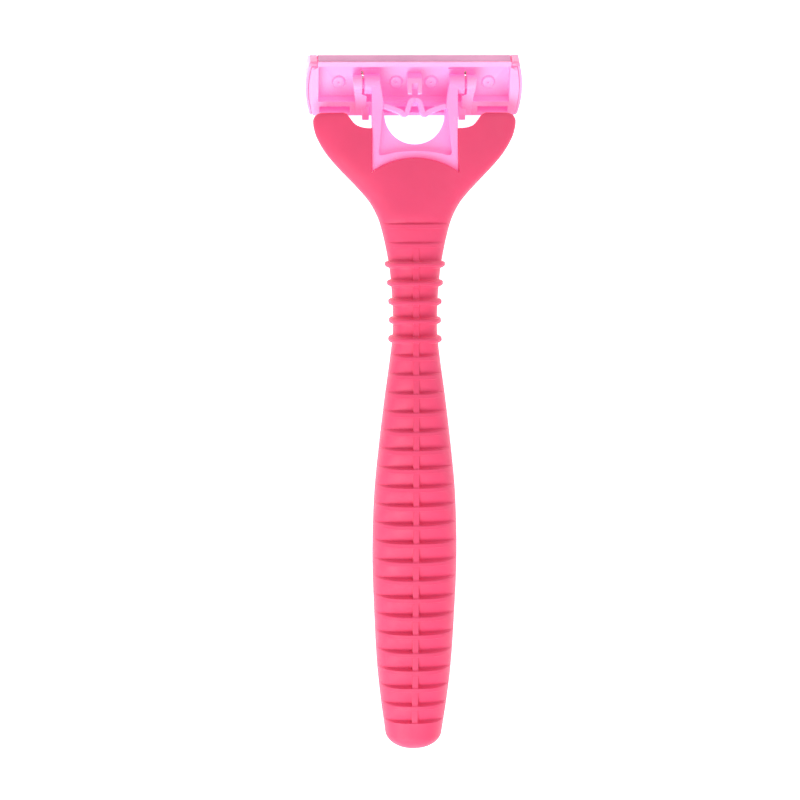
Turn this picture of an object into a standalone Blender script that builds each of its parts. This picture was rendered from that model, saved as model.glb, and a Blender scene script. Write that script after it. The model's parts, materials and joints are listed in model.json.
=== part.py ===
"""Cartridge razor: a soft grip over a rigid core, and a blade cartridge that pivots between two arms.

Units are metres. The razor lies back upwards on the tail of its grip and the front of its cartridge.
+X is right, +Y runs from the tail to the head, +Z is up. Three frames are used:
  - the razor frame, in which the handle follows a shallow arch along Y,
  - the head frame, with its origin on the pivot axis and its Y along the arms,
  - the cartridge frame, with its origin on the pivot axis, Y from guard to cap, Z out of the back.
"""

import math

import bmesh
import bpy
from mathutils import Matrix, Vector

# ---------------------------------------------------------------- driving dimensions
# Overall
PIVOT_Y = 0.0600              # pivot axis from the middle of the handle's length
TAIL_Y = -0.0680              # end of the tail
CARTRIDGE_WIDTH = 0.04105     # over both end caps
CARTRIDGE_TILT = math.radians(26.0)   # back of the cartridge against the ground

# Arch of the handle
ARCH_RADIUS = 0.580
TAIL_REST_INSET = 0.0081      # tail's end to the place where the tail touches the ground
TAIL_REST_HEIGHT = 0.00515    # handle axis above the ground there

# Grip: half width, half height and squareness of the oval at places along its length.
# On the body, from the tail's cap to the neck, a place is a share of that length.
BODY_STATIONS = (
    (0.000, 0.00550, 0.00480, 2.5),
    (0.071, 0.00638, 0.00535, 2.5),
    (0.152, 0.00714, 0.00580, 2.5),
    (0.259, 0.00768, 0.00600, 2.5),
    (0.388, 0.00807, 0.00610, 2.5),
    (0.521, 0.00774, 0.00590, 2.5),
    (0.624, 0.00688, 0.00545, 2.5),
    (0.728, 0.00578, 0.00490, 2.5),
    (0.805, 0.00484, 0.00440, 2.5),
    (0.864, 0.00424, 0.00415, 2.5),
    (0.923, 0.00424, 0.00410, 2.5),
)
# On the head a place is a distance from the pivot axis.
HEAD_STATIONS = (
    (0.0350, 0.00480, 0.00405, 2.2),
    (0.0312, 0.00546, 0.00400, 2.2),
    (0.0282, 0.00612, 0.00395, 2.3),
    (0.0252, 0.00703, 0.00385, 2.4),
    (0.0222, 0.00862, 0.00365, 2.5),
    (0.0192, 0.01118, 0.00340, 2.6),
    (0.0161, 0.01418, 0.00315, 2.8),
    (0.0131, 0.01675, 0.00285, 3.0),
    (0.0101, 0.01850, 0.00250, 3.0),
    (0.0080, 0.01912, 0.00225, 3.0),
    (0.0067, 0.01922, 0.00210, 3.0),
)
WING_TOP = 0.0054             # pivot axis to the tops of the wings
WING_CORNER = 0.0017          # rounding of the wing tips
WING_EDGE_SHARE = 0.25        # how much thinner a wing is at its very tip
TAIL_CAP = 0.0034             # length of the rounded tail
TAIL_FLATTENING = 0.8         # how far the tail closes in height while it closes in width
RIB_COUNT = 28
RIB_FIRST = 0.0264            # pivot axis to the first rib
RIB_LAST_INSET = 0.0061       # tail's end to the last rib
RIB_FACE = 0.0010             # outer face of a rib along Y
RIB_FLANK = 0.0001            # slope of a rib's flank along Y
STEP_RIBS = 2                 # the first ribs are shallow steps
RING_RIBS = 5                 # the next ones are full rings
RING_HEIGHT = 0.00080
STEP_DEPTH_SHARE = 0.12       # pocket depths, as shares of the half height
RING_DEPTH_SHARE = 0.20
POCKET_DEPTH_SHARE = 0.26
POCKET_START = 0.00025        # step behind each rib
UNDER_POCKET_DEPTH = 0.0005
SPINE_HALF_WIDTH = 0.00066
SPINE_DEPTH_SHARE = 0.20      # depth of the spine over the depth of the pocket beside it
SPINE_FLANK = 0.00008
SECTION_ANGLES = (0, 14, 27, 40, 53, 66, 78)   # degrees round a quarter of the oval
HEAD_SECTION_PITCH = 0.0015   # sections between the wings and the first rib

# Rigid core
PLATE_HALF_WIDTH = 0.0081
PLATE_FLARE = 0.0001          # how much wider the insert is at its feet
PLATE_HALF_THICKNESS = 0.0020
PLATE_FOOT = 0.0167           # pivot axis to the tips of the insert's feet
PLATE_ARCH = 0.0140           # pivot axis to the crown of the insert's lower edge
OPENING_MARGIN = 0.0002       # the rinse opening is this much narrower than the arms' roots
OPENING_CENTRE = 0.00565      # pivot axis to the centre of the rinse opening
RECESS_DEPTH = 0.0012
RAIL_WIDTH = 0.0013
RECESS_TOP = 0.0048           # pivot axis to the open end of the recess
RECESS_FOOT = 0.0135          # pivot axis to its lower corners
ARM_THIN_START = 0.0051       # pivot axis to the place where the arms grow thinner
ARM_THIN_END = 0.0030
ARM_WIDTH = 0.0016            # at the pivot axis
ARM_TAPER = 0.00055           # more at the roots of the spring
ARM_HALF_THICKNESS = 0.00175
JOURNAL_RADIUS = 0.0019
JOURNAL_LENGTH = 0.0014       # beyond the arm
PIN_RADIUS = 0.0009
PIN_LENGTH = 0.0019           # beyond the journal
STEM_HALF_WIDTH = 0.0030
STEM_HALF_HEIGHT = 0.0011
STEM_DROP = 0.0004            # stem below the handle axis
STEM_TAIL_INSET = 0.0121      # tail's end to the end of the stem
STEM_OVERLAP = 0.0010         # stem inside the insert
NOTCH_DEPTH = 0.0084          # pivot axis to the bottom of the notch beside an arm
NOTCH_WIDTH = 0.0054          # from the arm to the wing tip
NOTCH_CURVE = (               # share of that width, rise above the bottom of the notch
    (0.0, 0.0),
    (0.20, 0.00005),
    (0.35, 0.0002),
    (0.50, 0.0005),
    (0.62, 0.00095),
    (0.72, 0.0016),
    (0.80, 0.0022),
    (0.88, 0.0027),
    (1.0, 0.00297),
)

# Return spring: a flat leaf bent like the letter M between the arms
SPRING_WIDTH = 0.00090
SPRING_HALF_DEPTH = 0.0015
SPRING_ROOT = 0.0043          # pivot axis to the roots at the arms
SPRING_VALLEY = 0.0058        # pivot axis to the low bends
SPRING_VALLEY_X = 0.0020
SPRING_NOSE = 0.0031          # pivot axis to the middle of the nose
SPRING_ARCH_HALF = 0.00085    # half the distance between the tops of the nose's legs
SPRING_SPREAD = 0.00060       # the legs spread by this towards the low bends
SPRING_BEND = 0.0005          # rise out of each low bend

# Cartridge tray, in the cartridge frame
TRAY_CAP_EDGE = 0.0045        # pivot axis to the cap edge
TRAY_GUARD_EDGE = 0.0067      # pivot axis to the guard edge
TRAY_DEPTH = 0.0029
TRAY_FLOOR = 0.0005
END_BOW = 0.00083             # bulge of the cartridge's ends
END_CAP_WALL = 0.00050
END_CORNER = 0.00045          # rounding of the corners at the guard edge
END_CHAMFER = 0.0003          # on the end caps' back edge at the cap side
PANEL_END_RIM = 0.0010
PANEL_TOP = 0.0036
PANEL_BOTTOM = -0.00375
WINDOW_TOP = -0.00475
WINDOW_BOTTOM = -0.00605
CENTRE_WINDOW_HALF = 0.0058
WINDOW_FROM_BRACKET = 0.0004
WINDOW_FROM_END = 0.0002
RIVET_INNER_X = 0.0033
RIVET_FROM_BRACKET = 0.0025
RIVET_V = -0.0007
RIVET_RADIUS = 0.0013
RIVET_HEIGHT = 0.00035
POST_RADIUS = 0.0006
DIMPLE_RADIUS = 0.0003
BRACKET_RADIUS = 0.00172      # round the pivot axis
BRACKET_GUARD_EDGE = 0.0066   # pivot axis to the guard side of the foot
BRACKET_SLIT = 0.0004         # between the journal and the bracket
BRACKET_END_WALL = 0.0003     # beyond the tip of the pin
BRACKET_STEP_V = -0.0020      # the foot steps inward below this
BRACKET_STEP = 0.0009
PIVOT_WINDOW_HALF = 0.0016    # half the length of the slot under each pin
HEEL_CLEARANCE = 0.0004       # between an arm and the block beside the foot
HEEL_WIDTH = 0.0013
HEEL_PROFILE = (              # (Y, Z) of the block beside each foot
    (-0.0036, -0.0020),
    (-0.0036, -0.0010),
    (-0.0058, 0.0010),
    (-0.0070, 0.0013),
    (-0.0070, -0.0006),
    (-0.0062, -0.0020),
)
FOOT_WIDTH = 0.0018           # width of a bracket's foot at the guard side
BRACKET_CORNER = 0.0002
PAD_HEIGHT = 0.0004           # pads on the panel beyond the arms
PAD_EDGES = (0.0008, 0.0021)  # pivot axis to the near and far edges of the pads
BOSS_HALF_WIDTH = 0.00135
BOSS_HEIGHT = 0.0026          # above the pivot axis
BOSS_GUARD_EDGE = 0.0009
BOSS_CREST = 0.0003           # length of its top
BOSS_CAP_EDGE = 0.00125
BOSS_CHANNEL_END = 0.0006     # pivot axis to the cap end of the channel
BOSS_CHANNEL_HALF = 0.00055
BOSS_CHANNEL_DEPTH = 0.0022

# Blade pack
FRAME_THICKNESS = 0.0016
FRAME_WEB = 0.0007            # thickness of the cross bars behind the blades
BLADE_COUNT = 5
BLADE_PITCH = 0.00115
BLADE_FIRST_V = -0.0032
FRAME_END_WIDTH = 0.0018      # frame beside the ends of the blades
BLADE_WIDTH = 0.00075
BLADE_THICKNESS = 0.00010
BLADE_ANGLE = math.radians(21.0)
SUPPORT_THICKNESS = 0.00022
SUPPORT_LEG = 0.00065
SUPPORT_LEAF = 0.00060
CROSS_BAR_HALF = 0.0009
BLADE_FIELD_MARGIN = 0.0005
GUARD_STRIP_MARGIN = 0.0006   # between the guard strip and the end-cap lips
GUARD_STRIP = (-0.0060, -0.0045)      # near and far edges
GUARD_FINS = 4
GUARD_FIN_HEIGHT = 0.00035
STRIP_END_INSET = 0.0009      # the strip stops short of the tray's ends
STRIP_THICKNESS = 0.0003      # in front of the cap bar
STRIP_INNER_V = 0.0026
STRIP_SEAT_V = 0.0039         # the strip lies against the tray here
STRIP_FRAME_SEAT_V = 0.0032   # and against the frame here
STRIP_BACK = -0.0005
STRIP_PROUD = 0.00008         # strip beyond the cap edge
STRIP_CHAMFER_WIDTH = 0.0002
STRIP_CHAMFER_HEIGHT = 0.0004
LIP_OVER_BLADE = 0.0004       # end-cap lips over the blade ends
LIP_THICKNESS = 0.00035
LIP_PROUD = 0.00078           # lips in front of the frame
LIP_CHAMFER_WIDTH = 0.0006    # at the guard edge, where the cartridge touches the ground
LIP_CHAMFER_HEIGHT = 0.0011
CAP_SLOPE_LENGTH = 0.0013     # the front slopes back over this length to the cap edge
CAP_SLOPE_HEIGHT = 0.0015

# Clearances
MOULD_GAP = 0.00006           # between pieces that are moulded or pressed together
SEAT_GAP = 0.00010            # between pieces that are clipped together
BORE_GAP = 0.00012            # round the pivot pins
ROUND_SEGMENTS = 20

# ---------------------------------------------------------------- derived values
TAIL_REST_Y = TAIL_Y + TAIL_REST_INSET
BODY_LENGTH = PIVOT_Y - HEAD_STATIONS[0][0] - (TAIL_Y + TAIL_CAP)
WING_TOP_Y = PIVOT_Y - WING_TOP
RIB_FIRST_Y = PIVOT_Y - RIB_FIRST
RIB_LAST_Y = TAIL_Y + RIB_LAST_INSET
STEM_TAIL_Y = TAIL_Y + STEM_TAIL_INSET

ARM_INNER = PLATE_HALF_WIDTH - ARM_WIDTH
ARM_ROOT_INNER = ARM_INNER - ARM_TAPER
OPENING_RADIUS = ARM_ROOT_INNER - OPENING_MARGIN
JOURNAL_OUTER = PLATE_HALF_WIDTH + JOURNAL_LENGTH
PIN_OUTER = JOURNAL_OUTER + PIN_LENGTH
NOTCH_OUTER = PLATE_HALF_WIDTH + NOTCH_WIDTH

TRAY_HALF_WIDTH = CARTRIDGE_WIDTH / 2 - END_CAP_WALL - SEAT_GAP - END_BOW
PANEL_HALF_WIDTH = TRAY_HALF_WIDTH - PANEL_END_RIM
PANEL_FLOOR = TRAY_FLOOR - TRAY_DEPTH
BRACKET_OUTER = PIN_OUTER + BRACKET_END_WALL
WINDOWS = ((-PANEL_HALF_WIDTH + WINDOW_FROM_END, -BRACKET_OUTER - WINDOW_FROM_BRACKET),
           (-CENTRE_WINDOW_HALF, CENTRE_WINDOW_HALF),
           (BRACKET_OUTER + WINDOW_FROM_BRACKET, PANEL_HALF_WIDTH - WINDOW_FROM_END))
RIVET_OUTER_X = BRACKET_OUTER + RIVET_FROM_BRACKET
RIVET_POSITIONS = (-RIVET_OUTER_X, -RIVET_INNER_X, RIVET_INNER_X, RIVET_OUTER_X)

FRAME_BACK = -TRAY_DEPTH - SEAT_GAP
FRAME_FRONT = FRAME_BACK - FRAME_THICKNESS
BLADE_HALF_LENGTH = TRAY_HALF_WIDTH - FRAME_END_WIDTH - SEAT_GAP
LIP_INNER = BLADE_HALF_LENGTH - LIP_OVER_BLADE
LIP_FRONT = FRAME_FRONT - LIP_PROUD
LIP_CORNER_V = TRAY_GUARD_EDGE - LIP_CHAMFER_WIDTH
GUARD_STRIP_HALF_LENGTH = LIP_INNER - GUARD_STRIP_MARGIN
STRIP_HALF_LENGTH = TRAY_HALF_WIDTH - STRIP_END_INSET
STRIP_FRONT = FRAME_FRONT - SEAT_GAP - STRIP_THICKNESS
CAP_EDGE = TRAY_CAP_EDGE + STRIP_PROUD
CAP_SLOPE_V = CAP_EDGE - CAP_SLOPE_LENGTH
CAP_SLOPE_W = FRAME_FRONT + CAP_SLOPE_HEIGHT

PIVOT_Z = LIP_CORNER_V * math.sin(CARTRIDGE_TILT) - LIP_FRONT * math.cos(CARTRIDGE_TILT)
CLIMB = PIVOT_Z - TAIL_REST_HEIGHT
ARCH_SPAN = PIVOT_Y - TAIL_REST_Y
ARCH_APEX_Y = (PIVOT_Y + TAIL_REST_Y) / 2 + CLIMB * ARCH_RADIUS / ARCH_SPAN
ARCH_APEX_Z = PIVOT_Z + (PIVOT_Y - ARCH_APEX_Y) ** 2 / (2 * ARCH_RADIUS)
HEAD_SLOPE = -math.atan((PIVOT_Y - ARCH_APEX_Y) / ARCH_RADIUS)

# Sends a profile drawn in (cartridge Y, cartridge Z) to the plane across X
PROFILE = Matrix(((0, 0, 1, 0), (1, 0, 0, 0), (0, 1, 0, 0), (0, 0, 0, 1)))


# ---------------------------------------------------------------- scene helpers
def start_scene():
    for scene_object in list(bpy.data.objects):
        bpy.data.objects.remove(scene_object, do_unlink=True)
    parts = bpy.data.collections.new("cartridge_razor")
    cutters = bpy.data.collections.new("cutters")
    for collection in (parts, cutters):
        bpy.context.scene.collection.children.link(collection)
    return parts, cutters


PARTS, CUTTERS = start_scene()


def add_empty(name, parent=None, location=(0, 0, 0), turn_x=0.0):
    empty = bpy.data.objects.new(name, None)
    empty.empty_display_size = 0.01
    empty.location = location
    empty.rotation_euler = (turn_x, 0, 0)
    empty.parent = parent
    PARTS.objects.link(empty)
    return empty


def add_material(name, colour, roughness, metallic=0.0):
    material = bpy.data.materials.new(name)
    material.use_nodes = True
    shader = material.node_tree.nodes["Principled BSDF"]
    shader.inputs["Base Color"].default_value = (*colour, 1.0)
    shader.inputs["Roughness"].default_value = roughness
    shader.inputs["Metallic"].default_value = metallic
    return material


def add_object(name, mesh, parent, material=None):
    """A part when it has a material, otherwise a cutter or a shape to join."""
    new = bpy.data.objects.new(name, mesh)
    new.parent = parent
    if material is None:
        CUTTERS.objects.link(new)
        new.hide_render = True
        new.display_type = "WIRE"
    else:
        PARTS.objects.link(new)
        mesh.materials.append(material)
    return new


def boolean(target, other, operation="DIFFERENCE"):
    modifier = target.modifiers.new(other.name, "BOOLEAN")
    modifier.object = other
    modifier.operation = operation
    modifier.solver = "EXACT"


# ---------------------------------------------------------------- shapes
def make_plate(name, outline, low, high, parent, material=None, turn=None):
    """A flat outline, drawn as a filled 2D curve, between two heights."""
    curve = bpy.data.curves.new(name, "CURVE")
    curve.dimensions = "2D"
    curve.fill_mode = "BOTH"
    curve.extrude = abs(high - low) / 2
    spline = curve.splines.new("POLY")
    spline.points.add(len(outline) - 1)
    for point, (across, along) in zip(spline.points, outline):
        point.co = (across, along, 0, 1)
    spline.use_cyclic_u = True
    drawn = bpy.data.objects.new(name + "_outline", curve)
    bpy.context.scene.collection.objects.link(drawn)
    bpy.context.view_layer.update()
    evaluated = drawn.evaluated_get(bpy.context.evaluated_depsgraph_get())
    mesh = bpy.data.meshes.new_from_object(evaluated)
    bpy.data.objects.remove(drawn, do_unlink=True)
    work = bmesh.new()
    work.from_mesh(mesh)
    bmesh.ops.remove_doubles(work, verts=work.verts, dist=1e-6)
    bmesh.ops.translate(work, verts=work.verts, vec=(0, 0, (low + high) / 2))
    if turn is not None:
        bmesh.ops.transform(work, verts=work.verts, matrix=turn)
    bmesh.ops.recalc_face_normals(work, faces=work.faces)
    work.to_mesh(mesh)
    work.free()
    return add_object(name, mesh, parent, material)


def make_box(name, low, high, parent, material=None):
    size = Vector(high) - Vector(low)
    middle = (Vector(high) + Vector(low)) / 2
    work = bmesh.new()
    matrix = Matrix.Translation(middle) @ Matrix.Diagonal((*size, 1))
    bmesh.ops.create_cube(work, size=1.0, matrix=matrix)
    mesh = bpy.data.meshes.new(name)
    work.to_mesh(mesh)
    work.free()
    return add_object(name, mesh, parent, material)


def make_rod(name, radius, start, end, parent, material=None, end_radius=None):
    """A cylinder, or a cone when it has an end radius, between two points."""
    axis = Vector(end) - Vector(start)
    turn = axis.to_track_quat("Z", "Y").to_matrix().to_4x4()
    place = Matrix.Translation((Vector(start) + Vector(end)) / 2) @ turn
    tip = radius if end_radius is None else end_radius
    work = bmesh.new()
    bmesh.ops.create_cone(work, cap_ends=True, segments=ROUND_SEGMENTS, radius1=radius,
                          radius2=tip, depth=axis.length, matrix=place)
    mesh = bpy.data.meshes.new(name)
    work.to_mesh(mesh)
    work.free()
    return add_object(name, mesh, parent, material)


def make_loft(name, sections, parent, material=None):
    """Joins closed sections with the same number of points, and caps both ends."""
    work = bmesh.new()
    rings = [[work.verts.new(point) for point in section] for section in sections]
    count = len(rings[0])
    for near, far in zip(rings, rings[1:]):
        for index in range(count):
            after = (index + 1) % count
            work.faces.new((near[index], near[after], far[after], far[index]))
    work.faces.new(rings[0])
    work.faces.new(rings[-1])
    bmesh.ops.recalc_face_normals(work, faces=work.faces)
    mesh = bpy.data.meshes.new(name)
    work.to_mesh(mesh)
    work.free()
    return add_object(name, mesh, parent, material)


def bowed_end(half_width, guard_edge, cap_edge, corner=0.0):
    """Right end of the cartridge's outline: it bulges, and may be rounded at the guard edge."""
    corner_steps = 4 if corner else 0
    side_steps = 6
    heights = [corner * (1 - math.cos(math.pi / 2 * step / corner_steps))
               for step in range(corner_steps)]
    run = cap_edge - guard_edge - corner
    heights += [corner + run * step / side_steps for step in range(side_steps + 1)]
    points = []
    for height in heights:
        share = height / (cap_edge - guard_edge)
        across = half_width + END_BOW * (1 - (2 * share - 1) ** 2)
        if height < corner:
            across -= corner - math.sqrt(corner**2 - (corner - height) ** 2)
        points.append((across, guard_edge + height))
    return points


def bowed_outline(half_width, guard_edge, cap_edge):
    right = bowed_end(half_width, guard_edge, cap_edge)
    return right + [(-across, along) for across, along in reversed(right)]


# ---------------------------------------------------------------- the handle's run
def handle_height(y):
    return ARCH_APEX_Z - (y - ARCH_APEX_Y) ** 2 / (2 * ARCH_RADIUS)


def grip_stations():
    """All stations of the grip, with their places as distances along Y."""
    tail = TAIL_Y + TAIL_CAP
    body = [(tail + share * BODY_LENGTH, *shape) for share, *shape in BODY_STATIONS]
    head = [(PIVOT_Y - distance, *shape) for distance, *shape in HEAD_STATIONS]
    return body + head


GRIP_STATIONS = grip_stations()


def grip_shape(y):
    """Half width, half height and squareness at y, on a smooth curve through the stations."""
    stations = GRIP_STATIONS
    if y <= stations[0][0]:
        return stations[0][1:]
    if y >= stations[-1][0]:
        return stations[-1][1:]
    index = max(i for i, station in enumerate(stations) if station[0] <= y)
    index = min(index, len(stations) - 2)
    before = stations[max(index - 1, 0)]
    here = stations[index]
    there = stations[index + 1]
    after = stations[min(index + 2, len(stations) - 1)]
    run = there[0] - here[0]
    t = (y - here[0]) / run
    values = []
    for column in (1, 2, 3):
        slope_here = (there[column] - before[column]) / (there[0] - before[0]) * run
        slope_there = (after[column] - here[column]) / (after[0] - here[0]) * run
        values.append(
            (2 * t**3 - 3 * t**2 + 1) * here[column]
            + (t**3 - 2 * t**2 + t) * slope_here
            + (3 * t**2 - 2 * t**3) * there[column]
            + (t**3 - t**2) * slope_there
        )
    return values


def grip_section(y, narrow=0.0, thin=0.0, raised=0.0, depth=0.0, spine=False, under=0.0):
    """One section of the grip across the handle's axis.

    depth lowers the back to a flat pocket floor, under does the same below, raised makes a ring
    stand proud all round, and narrow and thin take away shares of the width and the height.
    """
    half_width, half_height, squareness = grip_shape(y)
    half_width = half_width * (1 - narrow) + raised
    half_height = half_height * (1 - thin) + raised
    floor = half_height - depth
    power = 2 / squareness
    quarter = [
        (half_width * math.cos(math.radians(angle)) ** power,
         half_height * math.sin(math.radians(angle)) ** power)
        for angle in SECTION_ANGLES
    ]
    spine_low = min(SPINE_HALF_WIDTH + SPINE_FLANK, quarter[-1][0] * 0.8)
    spine_high = min(SPINE_HALF_WIDTH, quarter[-1][0] * 0.6)
    crest = half_height - depth * SPINE_DEPTH_SHARE if spine else floor
    right = [(x, min(z, floor)) for x, z in quarter]
    right.append((spine_low, floor))
    right.append((spine_high, crest))
    left = [(-x, z) for x, z in reversed(right)]
    base = half_height - under
    below = [(-x, -min(z, base)) for x, z in quarter[1:]]
    below += [(0.0, -base)]
    below += [(x, -min(z, base)) for x, z in reversed(quarter[1:])]
    slope = -(y - ARCH_APEX_Y) / ARCH_RADIUS
    height = handle_height(y)
    return [(x, y - z * slope, height + z) for x, z in right + left + below]


def rib_positions():
    """Distances along Y of the head side of each rib's face."""
    pitch = (RIB_FIRST_Y - RIB_LAST_Y) / (RIB_COUNT - 1)
    return [RIB_FIRST_Y - pitch * index for index in range(RIB_COUNT)]


def make_grip(root, material):
    sections = []
    corner_steps = 5
    for step in range(corner_steps):
        angle = math.pi / 2 * (1 - step / corner_steps)
        y = WING_TOP_Y - WING_CORNER * (1 - math.sin(angle))
        rounding = 1 - math.cos(angle)
        sections.append(grip_section(y, narrow=WING_CORNER * rounding / grip_shape(y)[0],
                                     thin=WING_EDGE_SHARE * rounding))
    head_start = WING_TOP_Y - WING_CORNER
    head_steps = round((head_start - RIB_FIRST_Y) / HEAD_SECTION_PITCH)
    for step in range(head_steps):
        sections.append(grip_section(head_start + (RIB_FIRST_Y - head_start) * step / head_steps))
    ribs = rib_positions()
    for index, y in enumerate(ribs):
        before, depth, raised = rib_shape(index, y)
        under = UNDER_POCKET_DEPTH if index >= STEP_RIBS + RING_RIBS else 0.0
        if index > 0:
            sections.append(grip_section(y + RIB_FLANK, depth=before, spine=index > 1, under=under))
        else:
            sections.append(grip_section(y + RIB_FLANK, depth=before))
        sections.append(grip_section(y, raised=raised))
        sections.append(grip_section(y - RIB_FACE, raised=raised))
        if index < RIB_COUNT - 1:
            sections.append(grip_section(y - RIB_FACE - RIB_FLANK, depth=depth, spine=index > 0))
    cap_steps = 6
    cap_start = TAIL_Y + TAIL_CAP
    for step in range(cap_steps):
        angle = math.pi / 2 * step / cap_steps
        y = cap_start - TAIL_CAP * math.sin(angle)
        if y < ribs[-1] - RIB_FACE - RIB_FLANK:
            closing = 1 - math.cos(angle)
            sections.append(grip_section(y, narrow=closing, thin=closing * TAIL_FLATTENING))
    return make_loft("grip", sections, root, material)


def rib_shape(index, y):
    """Depth of the pocket that ends at a rib, depth just behind the rib, and height of a ring."""
    half_height = grip_shape(y)[1]
    if index < STEP_RIBS:
        return half_height * STEP_DEPTH_SHARE, POCKET_START, 0.0
    if index < STEP_RIBS + RING_RIBS:
        return half_height * RING_DEPTH_SHARE, POCKET_START, RING_HEIGHT
    return half_height * POCKET_DEPTH_SHARE, POCKET_START, 0.0


# ---------------------------------------------------------------- the core and its spring
def arch_line(x, crown, foot, half_width):
    """Lower edge of the insert: an arc from the crown in the middle down to the feet."""
    rise = foot - crown
    radius = (half_width**2 + rise**2) / (2 * rise)
    return -crown - radius + math.sqrt(radius**2 - x**2)


def arch_points(crown, foot, half_width, steps=12):
    points = []
    for step in range(steps + 1):
        x = half_width - 2 * half_width * step / steps
        points.append((x, arch_line(x, crown, foot, half_width)))
    return points


def stem_section(y, gap=0.0):
    half_width = STEM_HALF_WIDTH + gap
    half_height = STEM_HALF_HEIGHT + gap
    middle = handle_height(y) - STEM_DROP
    return [(half_width, y, middle - half_height), (half_width, y, middle + half_height),
            (-half_width, y, middle + half_height), (-half_width, y, middle - half_height)]


def make_stem(name, root, end_y, gap=0.0):
    start_y = PIVOT_Y - PLATE_ARCH + STEM_OVERLAP
    steps = 12
    sections = [stem_section(start_y + (end_y - start_y) * step / steps, gap)
                for step in range(steps + 1)]
    return make_loft(name, sections, root)


def make_core(root, head, material):
    inner_edge = [(ARM_INNER, 0.0), (ARM_ROOT_INNER, -SPRING_ROOT + SPRING_WIDTH),
                  (ARM_ROOT_INNER, -SPRING_ROOT - SPRING_WIDTH)]
    foot = PLATE_HALF_WIDTH + PLATE_FLARE
    outline = [(foot, -PLATE_FOOT), (PLATE_HALF_WIDTH, -NOTCH_DEPTH), (PLATE_HALF_WIDTH, 0.0)]
    outline += inner_edge
    steps = 16
    for step in range(steps + 1):
        angle = math.pi * step / steps
        outline.append((OPENING_RADIUS * math.cos(angle),
                        -OPENING_CENTRE - OPENING_RADIUS * math.sin(angle)))
    outline += [(-across, along) for across, along in reversed(inner_edge)]
    outline += [(-PLATE_HALF_WIDTH, 0.0), (-PLATE_HALF_WIDTH, -NOTCH_DEPTH), (-foot, -PLATE_FOOT)]
    outline += list(reversed(arch_points(PLATE_ARCH, PLATE_FOOT, foot)))[1:-1]
    core = make_plate("handle_core", outline, -PLATE_HALF_THICKNESS, PLATE_HALF_THICKNESS,
                      head, material)
    inside = PLATE_HALF_WIDTH - RAIL_WIDTH
    recess = [(inside, -RECESS_TOP), (-inside, -RECESS_TOP)]
    recess += list(reversed(arch_points(PLATE_ARCH - RAIL_WIDTH, RECESS_FOOT, inside)))
    floor = PLATE_HALF_THICKNESS - RECESS_DEPTH
    boolean(core, make_plate("insert_recess", recess, floor, 0.006, head))
    for side in (-1, 1):
        for face in (-1, 1):
            low = (side * (ARM_ROOT_INNER - 0.0010), -ARM_THIN_START, face * ARM_HALF_THICKNESS)
            high = (side * (PLATE_HALF_WIDTH + 0.0010), ARM_THIN_END, face * 0.0045)
            name = f"arm_thinning_{side + 1}_{face + 1}"
            corners = [(min(a, b), max(a, b)) for a, b in zip(low, high)]
            cutter = make_box(name, [c[0] for c in corners], [c[1] for c in corners], head)
            boolean(core, cutter)
        journal = make_rod(f"journal_{side + 1}", JOURNAL_RADIUS, (side * ARM_INNER, 0, 0),
                           (side * JOURNAL_OUTER, 0, 0), head)
        boolean(core, journal, "UNION")
        pin = make_rod(f"pin_{side + 1}", PIN_RADIUS, (side * (JOURNAL_OUTER - 0.0005), 0, 0),
                       (side * PIN_OUTER, 0, 0), head)
        boolean(core, pin, "UNION")
    boolean(core, make_stem("stem", root, STEM_TAIL_Y), "UNION")
    return core


def cut_grip_for_core(grip, root, head):
    edge = PLATE_HALF_WIDTH + MOULD_GAP
    foot = edge + PLATE_FLARE
    beyond = 0.0040
    bottom = [(-across, along) for across, along in
              arch_points(PLATE_ARCH + MOULD_GAP, PLATE_FOOT + MOULD_GAP, foot)]
    shoulder = NOTCH_OUTER - edge
    notch = [(edge + shoulder * share, rise - NOTCH_DEPTH) for share, rise in NOTCH_CURVE]
    notch.append((NOTCH_OUTER + 0.0010, beyond))
    outline = bottom + notch + [(-across, along) for across, along in reversed(notch)]
    tall = 0.012
    boolean(grip, make_plate("insert_pocket", outline, -tall, tall, head))
    boolean(grip, make_stem("stem_hole", root, STEM_TAIL_Y - MOULD_GAP, MOULD_GAP))
    ground = make_box("ground", (-0.05, -0.10, -0.02), (0.05, 0.0, 0.0), root)
    boolean(grip, ground)


def ribbon(path, width):
    """The outline of a strip of even width along a path."""
    left = []
    right = []
    for index, point in enumerate(path):
        before = Vector(path[max(index - 1, 0)])
        after = Vector(path[min(index + 1, len(path) - 1)])
        along = (after - before).normalized()
        side = Vector((-along.y, along.x)) * width / 2
        left.append(tuple(Vector(point) + side))
        right.append(tuple(Vector(point) - side))
    return left + list(reversed(right))


def make_spring(head, material):
    root_x = ARM_ROOT_INNER - MOULD_GAP
    arch = SPRING_ARCH_HALF
    foot = arch + SPRING_SPREAD
    drop = SPRING_VALLEY - SPRING_NOSE
    half = [(root_x, -SPRING_ROOT), (root_x - 0.0003, -SPRING_ROOT),
            (SPRING_VALLEY_X + 0.0004, SPRING_BEND - SPRING_VALLEY),
            (SPRING_VALLEY_X + 0.0001, -SPRING_VALLEY), (SPRING_VALLEY_X - 0.0003, -SPRING_VALLEY),
            (foot, SPRING_BEND - SPRING_VALLEY), (arch + 0.0002, -SPRING_NOSE - drop * 0.4),
            (arch, -SPRING_NOSE - drop * 0.15), (arch * 0.6, -SPRING_NOSE)]
    path = [(-x, y) for x, y in half] + list(reversed(half))
    return make_plate("return_spring", ribbon(path, SPRING_WIDTH), -SPRING_HALF_DEPTH,
                      SPRING_HALF_DEPTH, head, material)


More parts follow.
